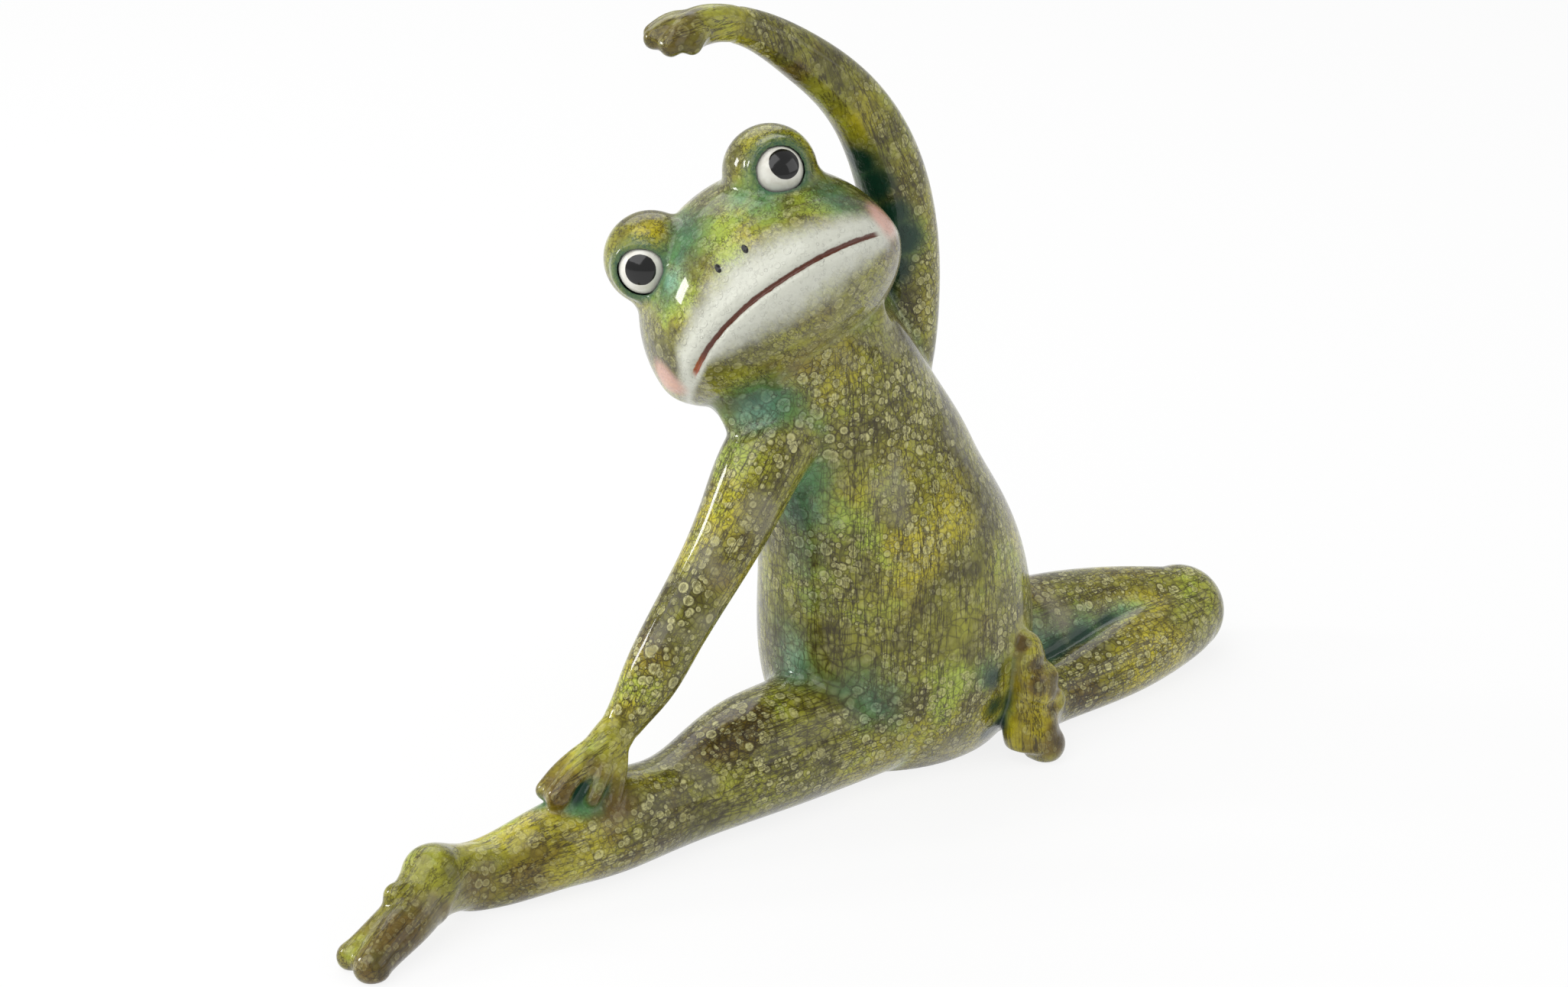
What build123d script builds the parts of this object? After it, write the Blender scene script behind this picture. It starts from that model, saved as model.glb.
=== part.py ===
from build123d import *
import os

# Every length is in millimetres. Rows of shares are multiples of the named
# lengths above them. x runs to the frog's left, -y is its front, z is up, and
# the middle of the torso's foot is the working origin.

# Round pad at the end of a limb, in radii of the limb's end
PAD_SHARE = 1.06
# Ground that the figure is flattened on, in lengths of the left arm
GROUND_SHARE = 4

# Torso: a leaning egg with a flat foot
TORSO_HEIGHT = 154
TORSO_WIDTH = 106
TORSO_DEPTH = 86
TORSO_LEAN = 41
TORSO_LEAN_FORWARD = 4
# up, lean, lean forward, width, depth
TORSO_SHARES = [
    (-0.05, 0.05, 0.0, 0.52, 0.42),
    (0.06, 0.12, 0.1, 0.84, 0.84),
    (0.19, 0.17, 0.3, 0.96, 1.00),
    (0.36, 0.23, 0.6, 0.98, 1.00),
    (0.55, 0.35, 0.9, 0.90, 0.93),
    (0.73, 0.59, 1.0, 0.79, 0.80),
    (0.86, 0.77, 0.9, 0.72, 0.71),
    (0.95, 0.93, 1.2, 0.66, 0.64),
    (1.05, 1.10, 1.5, 0.60, 0.56),
    (1.14, 1.28, 1.6, 0.48, 0.44),
    (1.19, 1.40, 1.6, 0.24, 0.22),
]

# Head: skull, cheeks and eye bumps, in its own frame with the mouth's corners
# on the x axis
HEAD_WIDTH = 94.5
HEAD_HEIGHT = 66
HEAD_DEPTH = 80
# lean, lean forward, up of the torso
HEAD_AT_SHARES = (1.561, 1.625, 1.1526)
HEAD_TURN = -46
HEAD_NOD = -22.5
HEAD_TILT = -39
# along the depth, width, height above the mouth, depth of the jaw below it
SKULL_SHARES = [
    (-0.470, 0.34, 0.17, 0.08),
    (-0.41, 0.58, 0.34, 0.16),
    (-0.30, 0.78, 0.50, 0.24),
    (-0.15, 0.93, 0.63, 0.31),
    (0.00, 1.00, 0.70, 0.35),
    (0.15, 0.98, 0.72, 0.36),
    (0.30, 0.85, 0.66, 0.33),
    (0.41, 0.62, 0.49, 0.24),
    (0.470, 0.38, 0.29, 0.14),
]
SKULL_TIP_SHARE = 0.5
CHEEK_WIDTH = 20
CHEEK_SHARES = (0.39, 0.0, -0.02)
EYE_BUMP_WIDTH = 32
EYE_SPACING = 49
EYE_SET_BACK = 8
EYE_RISE = 36.5
EYEBALL_WIDTH = 18.8
EYEBALL_OUT = 8.6
EYE_TURN = 17
EYE_NOD = 18
MOUTH_WIDTH = 76
MOUTH_SHIFT = 4
MOUTH_DROP = 3.3
MOUTH_ARCH = 3
MOUTH_GAP = 1.8
MOUTH_DEPTH = 2

# Right arm: shoulder to wrist
RIGHT_ARM_LENGTH = 150
RIGHT_ARM_THICKNESS = 30
# x, y, z, thickness
RIGHT_ARM_SHARES = [
    (-0.333, -0.053, 0.900, 0.90),
    (-0.443, -0.080, 0.887, 0.98),
    (-0.520, -0.097, 0.827, 0.96),
    (-0.585, -0.108, 0.735, 0.87),
    (-0.680, -0.117, 0.610, 0.75),
    (-0.775, -0.123, 0.495, 0.70),
    (-0.850, -0.126, 0.395, 0.62),
    (-0.915, -0.120, 0.313, 0.45),
]

# Right hand: a palm on the shin and four fingers
RIGHT_HAND_LENGTH = 36
RIGHT_HAND_THICKNESS = 16
# x, y, z from the wrist, thickness
RIGHT_PALM_SHARES = [
    (-0.12, -0.03, -0.08, 0.86),
    (-0.25, -0.07, -0.16, 0.84),
]
RIGHT_FINGER_SHARES = [
    [
        (-0.18, 0.00, -0.10, 0.52),
        (-0.44, 0.02, -0.19, 0.48),
        (-0.68, 0.03, -0.32, 0.44),
        (-0.81, 0.03, -0.42, 0.40),
    ],
    [
        (-0.20, -0.06, -0.12, 0.58),
        (-0.40, -0.11, -0.15, 0.52),
        (-0.62, -0.15, -0.26, 0.50),
        (-0.79, -0.17, -0.41, 0.54),
    ],
    [
        (-0.16, -0.10, -0.13, 0.46),
        (-0.30, -0.22, -0.20, 0.38),
        (-0.43, -0.30, -0.34, 0.33),
        (-0.53, -0.33, -0.46, 0.31),
    ],
    [
        (-0.08, -0.09, -0.12, 0.46),
        (-0.15, -0.21, -0.28, 0.40),
        (-0.24, -0.30, -0.44, 0.36),
        (-0.32, -0.35, -0.57, 0.34),
    ],
]

# Left arm: up from the shoulder and over the head
LEFT_ARM_LENGTH = 280
LEFT_ARM_THICKNESS = 27
# lean, lean forward, up of the torso
LEFT_SHOULDER_SHARES = (0.58, -0.7, 0.8)
# x, y, z from the shoulder, thickness
LEFT_ARM_SHARES = [
    (0.000, 0.000, 0.000, 0.94),
    (0.059, 0.006, 0.060, 1.06),
    (0.074, 0.006, 0.140, 0.99),
    (0.073, 0.006, 0.230, 0.95),
    (0.051, 0.006, 0.320, 0.91),
    (-0.007, 0.003, 0.416, 0.77),
    (-0.097, -0.006, 0.490, 0.62),
    (-0.192, -0.017, 0.540, 0.46),
]

# Left hand: fingers side by side, curled down
LEFT_HAND_LENGTH = 36
LEFT_HAND_THICKNESS = 13
# x, y, z from the wrist, thickness
LEFT_PALM_SHARES = [
    (-0.32, -0.02, 0.05, 1.00),
    (-0.54, -0.06, 0.02, 0.98),
]
LEFT_FINGER_SHARES = [
    [
        (-0.36, -0.08, 0.04, 0.54),
        (-0.52, -0.18, 0.02, 0.54),
        (-0.61, -0.22, -0.05, 0.52),
    ],
    [
        (-0.42, -0.05, 0.05, 0.58),
        (-0.66, -0.12, 0.05, 0.60),
        (-0.80, -0.17, -0.04, 0.56),
    ],
    [
        (-0.42, -0.02, 0.05, 0.58),
        (-0.70, 0.00, 0.07, 0.60),
        (-0.86, 0.00, 0.00, 0.56),
    ],
    [
        (-0.36, 0.02, 0.05, 0.54),
        (-0.60, 0.13, 0.07, 0.58),
        (-0.75, 0.17, -0.01, 0.54),
    ],
]

# Right leg: hip to ankle along the ground
RIGHT_LEG_LENGTH = 200
RIGHT_LEG_THICKNESS = 48
# x, y, z, thickness
RIGHT_LEG_SHARES = [
    (-0.090, -0.045, 0.108, 1.00),
    (-0.230, -0.060, 0.106, 1.00),
    (-0.360, -0.072, 0.097, 0.92),
    (-0.490, -0.085, 0.086, 0.80),
    (-0.590, -0.095, 0.072, 0.68),
    (-0.690, -0.103, 0.073, 0.71),
    (-0.800, -0.110, 0.068, 0.64),
    (-0.910, -0.107, 0.057, 0.54),
    (-1.000, -0.090, 0.052, 0.47),
]

# Right foot: heel, instep and three toes
RIGHT_FOOT_LENGTH = 54
RIGHT_FOOT_THICKNESS = 24
# x, y, z from the ankle, thickness
RIGHT_INSTEP_SHARES = [
    (-0.19, -0.06, 0.12, 0.86),
    (-0.36, -0.16, 0.03, 0.76),
]
RIGHT_TOE_SHARES = [
    [
        (-0.30, -0.14, 0.03, 0.60),
        (-0.46, -0.24, 0.00, 0.66),
        (-0.68, -0.34, -0.05, 0.62),
        (-0.88, -0.45, -0.11, 0.50),
    ],
    [
        (-0.28, -0.12, 0.02, 0.54),
        (-0.48, -0.18, 0.00, 0.60),
        (-0.72, -0.23, -0.06, 0.48),
        (-0.91, -0.26, -0.12, 0.40),
    ],
    [
        (-0.28, -0.10, 0.04, 0.44),
        (-0.42, -0.13, 0.08, 0.42),
        (-0.54, -0.17, 0.12, 0.37),
    ],
]

# Left leg, folded: thigh and knee, then the shin back to the torso
LEFT_LEG_LENGTH = 130
LEFT_LEG_THICKNESS = 44
# x, y, z, thickness
THIGH_SHARES = [
    (0.17, 0.038, 0.154, 0.98),
    (0.36, 0.046, 0.154, 1.00),
    (0.54, 0.046, 0.147, 0.97),
    (0.70, 0.036, 0.138, 0.91),
    (0.84, 0.010, 0.129, 0.84),
    (0.975, -0.026, 0.121, 0.75),
]
SHIN_SHARES = [
    (0.96, -0.050, 0.114, 0.70),
    (0.80, -0.105, 0.105, 0.69),
    (0.66, -0.141, 0.100, 0.66),
    (0.52, -0.163, 0.090, 0.59),
    (0.38, -0.178, 0.080, 0.52),
    (0.28, -0.210, 0.083, 0.49),
    (0.21, -0.270, 0.092, 0.46),
]

# Left foot: a sole standing on edge, with three toes
LEFT_FOOT_HEIGHT = 48
LEFT_FOOT_THICKNESS = 21
# x, y, z from the ground under the ankle, thickness
SOLE_SHARES = [
    (-0.12, -0.17, 0.10, 0.90),
    (-0.12, -0.15, 0.28, 0.95),
    (-0.11, -0.13, 0.50, 0.84),
    (-0.13, -0.11, 0.70, 0.76),
    (-0.15, -0.07, 0.85, 0.66),
]
LEFT_TOE_SHARES = [
    [(-0.12, -0.12, 0.65, 0.46), (-0.01, -0.16, 0.66, 0.42)],
    [(-0.11, -0.14, 0.42, 0.58), (0.03, -0.19, 0.44, 0.52)],
    [(-0.11, -0.17, 0.16, 0.72), (-0.05, -0.24, 0.12, 0.66)],
]


def on_torso(lean, lean_forward, up):
    """A point carried by the leaning torso."""
    return Vector(-lean * TORSO_LEAN, -lean_forward * TORSO_LEAN_FORWARD, up * TORSO_HEIGHT)


def stations(shares, length, start=Vector()):
    """The points of a path given as shares of a length."""
    return [start + Vector(x, y, z) * length for x, y, z, _ in shares]


def square_to(points, index):
    """The plane square to a path at one of its points."""
    heading = points[min(index + 1, len(points) - 1)] - points[max(index - 1, 0)]
    return Plane(origin=points[index], x_dir=(0, 1, 0), z_dir=heading)


def limb(points, radii, pad=False):
    """A smooth round limb through discs square to its path, with a round pad where asked for."""
    shape = loft([square_to(points, index) * Circle(radius) for index, radius in enumerate(radii)])
    if pad:
        shape = shape + Pos(*points[-1]) * Sphere(PAD_SHARE * radii[-1])
    return shape


def half_thicknesses(shares, thickness):
    return [row[3] * thickness / 2 for row in shares]


def limb_with_end(limb_row, end_row):
    """A limb and its hand or foot, lofted as one and parted at the wrist or ankle.

    Each row is a table of shares, a length and a thickness, then the limb's start or the digits' tables.
    """
    limb_shares, limb_length, limb_thickness, start = limb_row
    end_shares, end_length, end_thickness, digits = end_row
    points = stations(limb_shares, limb_length, start)
    joint = points[-1]
    index = len(points) - 1
    points = points + stations(end_shares, end_length, joint)
    radii = half_thicknesses(limb_shares, limb_thickness) + half_thicknesses(end_shares, end_thickness)
    whole = limb(points, radii, pad=True)
    parting = square_to(points, index)
    end = split(whole, bisect_by=parting, keep=Keep.TOP)
    for digit in digits:
        end += limb(
            stations(digit, end_length, joint), half_thicknesses(digit, end_thickness), pad=True
        )
    return split(whole, bisect_by=parting, keep=Keep.BOTTOM), end


def skull(inset):
    """The skull and jaw, widest along the mouth, every skin moved in by the inset."""
    squeeze = 1 - 2 * inset / HEAD_DEPTH
    tip = SKULL_TIP_SHARE * HEAD_DEPTH * squeeze
    sections = [Vertex(0, -tip, 0)]
    for along, wide, above, below in SKULL_SHARES:
        half_width = wide * HEAD_WIDTH / 2 - inset
        crown = EllipticalCenterArc((0, 0), half_width, above * HEAD_HEIGHT - inset, 0, arc_size=180)
        jaw = EllipticalCenterArc((0, 0), half_width, below * HEAD_HEIGHT - inset, 180, arc_size=180)
        square = Plane(origin=(0, along * HEAD_DEPTH * squeeze, 0), x_dir=(1, 0, 0), z_dir=(0, -1, 0))
        sections.append(square * make_face(crown + jaw))
    sections.append(Vertex(0, tip, 0))
    return loft(sections)


# Torso
torso_sections = []
for up, lean, lean_forward, wide, deep in TORSO_SHARES:
    level = Plane(origin=on_torso(lean, lean_forward, up))
    torso_sections.append(level * Ellipse(wide * TORSO_WIDTH / 2, deep * TORSO_DEPTH / 2))
torso = loft(torso_sections)

# Head
in_place = Pos(*on_torso(*HEAD_AT_SHARES)) * Rot(Z=HEAD_TURN) * Rot(X=HEAD_NOD) * Rot(Y=HEAD_TILT)
head = skull(0)
eyeballs = []
for side in (-1, 1):
    cheek_x, cheek_y, cheek_z = CHEEK_SHARES
    cheek = Pos(side * cheek_x * HEAD_WIDTH, cheek_y * HEAD_DEPTH, cheek_z * HEAD_HEIGHT)
    head = head + cheek * Sphere(CHEEK_WIDTH / 2)
    eye = Pos(side * EYE_SPACING / 2, -EYE_SET_BACK, EYE_RISE) * Rot(Z=side * EYE_TURN) * Rot(X=EYE_NOD)
    head = head + eye * Sphere(EYE_BUMP_WIDTH / 2)
    eyeballs.append(eye * Pos(0, -EYEBALL_OUT, 0) * Sphere(EYEBALL_WIDTH / 2))
mouth_top = ThreePointArc((-MOUTH_WIDTH / 2, 0), (0, MOUTH_ARCH + MOUTH_GAP / 2), (MOUTH_WIDTH / 2, 0))
mouth_bottom = ThreePointArc((MOUTH_WIDTH / 2, 0), (0, MOUTH_ARCH - MOUTH_GAP / 2), (-MOUTH_WIDTH / 2, 0))
mouth_blade = Pos(MOUTH_SHIFT, 0, -MOUTH_DROP) * extrude(
    Plane.XZ * make_face(mouth_top + mouth_bottom), HEAD_DEPTH
)
mouth_groove = mouth_blade - skull(MOUTH_DEPTH)
head = head - mouth_groove
for eyeball in eyeballs:
    head = head - eyeball
head = in_place * head
right_eyeball, left_eyeball = [in_place * eyeball for eyeball in eyeballs]

# Arms and hands
right_arm, right_hand = limb_with_end(
    (RIGHT_ARM_SHARES, RIGHT_ARM_LENGTH, RIGHT_ARM_THICKNESS, Vector()),
    (RIGHT_PALM_SHARES, RIGHT_HAND_LENGTH, RIGHT_HAND_THICKNESS, RIGHT_FINGER_SHARES),
)
left_arm, left_hand = limb_with_end(
    (LEFT_ARM_SHARES, LEFT_ARM_LENGTH, LEFT_ARM_THICKNESS, on_torso(*LEFT_SHOULDER_SHARES)),
    (LEFT_PALM_SHARES, LEFT_HAND_LENGTH, LEFT_HAND_THICKNESS, LEFT_FINGER_SHARES),
)

# Legs and feet
right_leg, right_foot = limb_with_end(
    (RIGHT_LEG_SHARES, RIGHT_LEG_LENGTH, RIGHT_LEG_THICKNESS, Vector()),
    (RIGHT_INSTEP_SHARES, RIGHT_FOOT_LENGTH, RIGHT_FOOT_THICKNESS, RIGHT_TOE_SHARES),
)
left_leg = limb(
    stations(THIGH_SHARES, LEFT_LEG_LENGTH), half_thicknesses(THIGH_SHARES, LEFT_LEG_THICKNESS), pad=True
)
left_leg += limb(stations(SHIN_SHARES, LEFT_LEG_LENGTH), half_thicknesses(SHIN_SHARES, LEFT_LEG_THICKNESS))
ankle = stations(SHIN_SHARES, LEFT_LEG_LENGTH)[-1]
left_foot = Part()
for digit in [SOLE_SHARES, *LEFT_TOE_SHARES]:
    path = stations(digit, LEFT_FOOT_HEIGHT, Vector(ankle.X, ankle.Y, 0))
    left_foot += limb(path, half_thicknesses(digit, LEFT_FOOT_THICKNESS), pad=True)

# Each casting is fitted to the one it is luted to, and all are ground flat
# underneath
head = head - torso
right_arm = right_arm - torso - head
left_arm = left_arm - torso - head
right_leg = right_leg - torso
left_leg = left_leg - torso - right_leg
right_hand = right_hand - right_leg
left_foot = left_foot - torso - left_leg

pieces = {
    "torso": torso,
    "head": head,
    "right_eyeball": right_eyeball,
    "left_eyeball": left_eyeball,
    "right_arm": right_arm,
    "right_hand": right_hand,
    "left_arm": left_arm,
    "left_hand": left_hand,
    "right_leg": right_leg,
    "right_foot": right_foot,
    "left_leg": left_leg,
    "left_foot": left_foot,
}
ground_width = GROUND_SHARE * LEFT_ARM_LENGTH
under = Pos(0, 0, -ground_width / 2) * Box(ground_width, ground_width, ground_width)
pieces = {name: shape - under for name, shape in pieces.items()}

# The frame's origin is under the middle of the whole figure
extent = Compound(children=[Part() + shape for shape in pieces.values()]).bounding_box()
to_frame = Pos(-extent.center().X, -extent.center().Y, -extent.min.Z)
os.makedirs("parts", exist_ok=True)
for name, shape in pieces.items():
    export_step(to_frame * shape, f"parts/{name}.step")
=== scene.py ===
import math

import bpy
import numpy as np
import openvdb
from mathutils import Matrix, Vector


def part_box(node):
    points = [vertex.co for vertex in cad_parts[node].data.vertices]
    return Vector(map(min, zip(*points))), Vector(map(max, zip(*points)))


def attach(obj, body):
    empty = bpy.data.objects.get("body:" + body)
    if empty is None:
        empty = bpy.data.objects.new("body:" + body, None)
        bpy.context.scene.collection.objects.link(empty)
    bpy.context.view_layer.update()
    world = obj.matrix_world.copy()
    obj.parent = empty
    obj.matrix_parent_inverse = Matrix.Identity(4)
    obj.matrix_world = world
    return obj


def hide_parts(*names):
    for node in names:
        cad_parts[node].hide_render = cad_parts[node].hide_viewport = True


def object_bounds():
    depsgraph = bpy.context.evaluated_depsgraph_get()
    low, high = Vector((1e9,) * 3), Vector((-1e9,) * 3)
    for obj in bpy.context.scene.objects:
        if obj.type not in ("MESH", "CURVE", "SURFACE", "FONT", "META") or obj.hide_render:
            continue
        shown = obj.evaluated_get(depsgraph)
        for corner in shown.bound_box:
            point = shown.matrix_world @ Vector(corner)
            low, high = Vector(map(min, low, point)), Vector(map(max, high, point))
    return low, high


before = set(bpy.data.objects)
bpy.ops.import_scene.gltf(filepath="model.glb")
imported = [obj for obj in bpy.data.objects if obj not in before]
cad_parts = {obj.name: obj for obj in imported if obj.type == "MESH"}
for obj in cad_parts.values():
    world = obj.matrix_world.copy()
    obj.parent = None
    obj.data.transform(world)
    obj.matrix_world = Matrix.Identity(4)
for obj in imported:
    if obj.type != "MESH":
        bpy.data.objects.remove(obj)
cad_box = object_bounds()

# Lengths are millimetres, colours are linear; only the frame itself is in metres
MM = 0.001
VOXEL = 0.8
MARGIN = 10.0
REACH = 6.0
WIDE_REACH = 32.0
SKIN_BLUR = 0.9
WALL_DEPTH = 1.5
SKIN_NODES = (
    "torso",
    "head",
    "right_arm",
    "right_hand",
    "left_arm",
    "left_hand",
    "right_leg",
    "right_foot",
    "left_leg",
    "left_foot",
)
ENDS = {
    "right_hand": "right_arm",
    "left_hand": "left_arm",
    "right_foot": "right_leg",
    "left_foot": "left_leg",
}

# The head's own frame: mouth corners on x, face towards -y
HEAD_ANGLES = (-46.0, -22.5, -39.0)

# Eyes
EYES = {"right_eyeball": -1, "left_eyeball": 1}
EYE_PLACE = (24.5, -8.0, 36.5)
EYE_ANGLES = (17.0, 18.0)
EYEBALL_OUT = 8.6
EYEBALL_RADIUS = 9.4
EYEBALL_RINGS = 48
EYEBALL_SPOKES = 64
EYE_GAP = 0.15
LID_ANGLE = 68.0
LID_LIFT = 0.3
LID_RADIUS = 1.5
LID_BLEND = 2.4
GAZES = {"right_eyeball": (-0.121, -0.978, -0.171), "left_eyeball": (0.481, -0.869, -0.115)}
PUPIL_ANGLE = 33.5
PUPIL_RISE = 0.3
PUPIL_SLOPE = (-2.0, 14.0)

# Mouth line, the lips modelled and painted along it, cheeks and nostrils
MOUTH_ENDS = (-33.5, 42.5)
MOUTH_TOP = 3.0
MOUTH_BENDS = (0.0048, 0.0017)
MOUTH_DEPTH = 1.4
MOUTH_WIDTH = 1.1
MOUTH_END_FADE = (1.0, -3.0)
FRONT_FADE = (8.0, 2.0)
LIP_SWELL = 0.45
LIP_OFFSET = 4.0
LIP_WIDTH = 2.6
UPPER_LIP = 13.0
UPPER_LIP_DROP = 6.0
UPPER_LIP_SPREAD = 40.0
LOWER_LIP = 10.0
LOWER_LIP_MIDDLE = 10.0
LOWER_LIP_BEND = 0.0055
LOWER_LIP_LEAST = 2.5
LIP_END = -1.0
LIP_END_FADE = 12.0
LIP_BACK = 4.0
LIP_BACK_FADE = 5.0
CHEEKS = ((-43.0, -14.0, -1.0), (46.5, -6.0, 1.5))
CHEEK_FADE = (11.0, 5.0)
NOSTRIL_X = 5.4
NOSTRIL_Z = 15.6
NOSTRIL_DEPTH = 0.7
NOSTRIL_WIDTH = 1.3
NOSTRIL_HEIGHT = 1.7

# Radii of the clay that fills the corners where castings are luted together,
# and where the larger ones are: middle and reach
CREASE_FILLET = 2.4
DIGIT_FILLET = 1.0
NECK_FILLET = 26.0
NECK_PLACES = (
    ((-14, -20, 163), 17),
    ((4, -23, 168), 20),
    ((26, -19, 165), 20),
    ((38, -15, 158), 20),
    ((46, 2, 160), 20),
    ((44, 22, 158), 22),
    ((16, 30, 160), 26),
    ((-12, 24, 155), 18),
)
JOINT_FILLET = 11.0
JOINT_PLACES = (((-20, -6, 148), 18), ((-14, 8, 146), 18), ((30, 2, 138), 20))
ANKLE_FILLET = 26.0
ANKLE_PLACES = (((-153, -25, 16), 26),)
ANKLE_NODES = ("right_leg", "right_foot")
WRIST_FILLET = 6.0
WRIST_PLACES = (((-88, -20, 50), 10),)
WEB_FILLET = 3.4
WEB_PLACES = (((-102, -19, 33), 12),)
WEB_SINK = 1.7
FOOT_FILLET = 9.0
FOOT_PLACES = (((-166, -29, 17), 13),)
EYE_FILLET = 6.0
EYE_FILLET_Y = -4.0
EYE_FILLET_Z = 24.0
EYE_FILLET_REACH = 22.0
FADE_SHARES = (0.7, 1.5)
FADE_SINK = 12.0
FILL_LIFT = 0.4

# Toes of the upright foot: middle, width and height of each swelling,
# and the creases between them from end to end
TOE_KNOBS = (
    ((71, -37, 45), 4.5, 1.2),
    ((74, -43, 30), 5.0, 2.0),
    ((82, -42, 29), 5.0, 1.6),
    ((77, -47, 10), 5.5, 1.2),
)
TOE_CREASES = (((72, -41, 37), (84, -39, 36)), ((70, -42, 23), (84, -43, 21)))
CREASE_DEPTH = 1.6
CREASE_WIDTH = 2.4

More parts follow.
